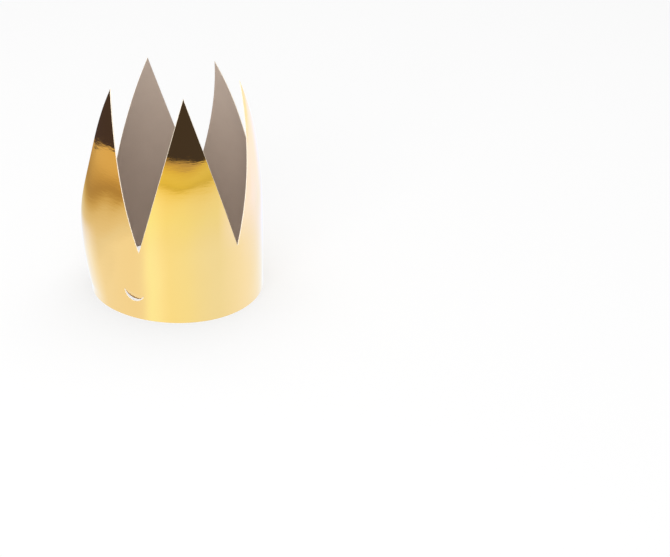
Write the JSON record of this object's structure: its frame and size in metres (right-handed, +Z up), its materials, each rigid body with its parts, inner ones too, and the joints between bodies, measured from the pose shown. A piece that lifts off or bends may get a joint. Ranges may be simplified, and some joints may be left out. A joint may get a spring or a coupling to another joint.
{
  "type": "paper crown",
  "caption": "Party crown of one gold mirror card, rolled into a loop and locked by an anchor tab in a slit, with a band, pointed spikes that curl inward and half-moon cuts for a thread.",
  "frame": {"origin": "centre of the bounding box at the bottom edge of the band, where the crown stands", "axes": "+Z up along the loop's axis, -Y towards the front, +X to the right as seen from the front"},
  "size_m": [0.1126, 0.1114, 0.139],
  "materials": {
    "gold_card": "mirror gold film on the outside, warm grey uncoated card on the inside"
  },
  "bodies": {
    "root": {"crown_sheet": "gold_card"}
  },
  "joints": []
}
